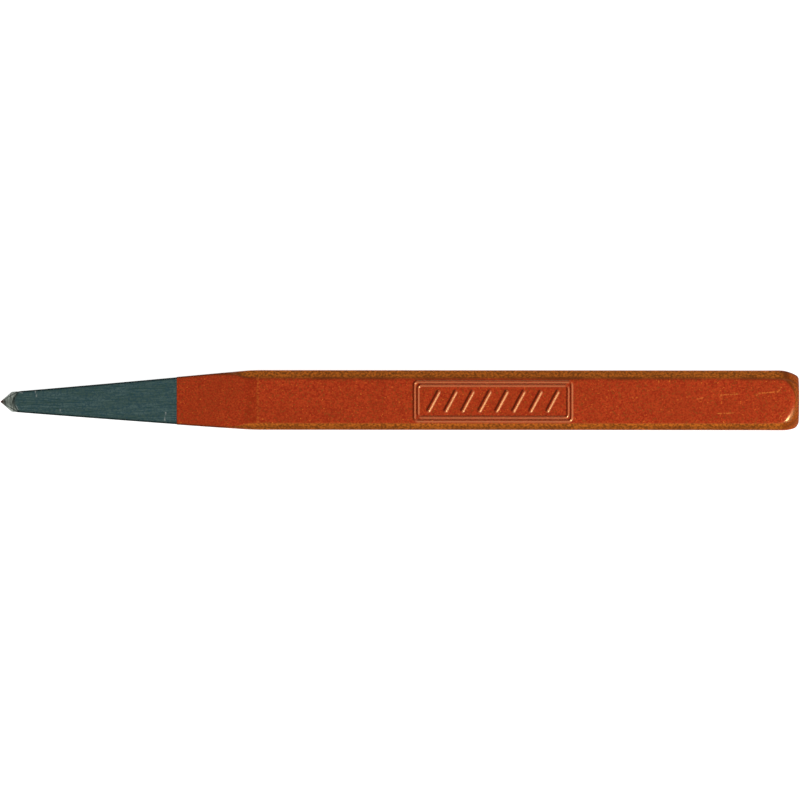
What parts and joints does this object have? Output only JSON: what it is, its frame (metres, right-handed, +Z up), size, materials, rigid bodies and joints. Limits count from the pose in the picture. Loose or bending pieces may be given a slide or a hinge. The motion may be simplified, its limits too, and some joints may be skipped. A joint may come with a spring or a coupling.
{
  "type": "centre punch",
  "caption": "Square-bar centre punch: one forged steel bar drawn down on four sides to a ground conical point, with a crowned head and a red lacquer coat on its shank.",
  "frame": {"origin": "bottom centre of the bounding box: on the back flat that the tool lies on, midway between the point and the struck face and midway across the flats", "axes": "+X along the tool from the point to the struck face, +Z up out of the front flat, +Y across the flats"},
  "size_m": [0.12, 0.009, 0.009],
  "materials": {
    "ground_steel": "satin",
    "red_lacquer": "satin"
  },
  "bodies": {
    "root": {"steel_forging": "ground_steel", "lacquer_coat": "red_lacquer"}
  },
  "joints": []
}
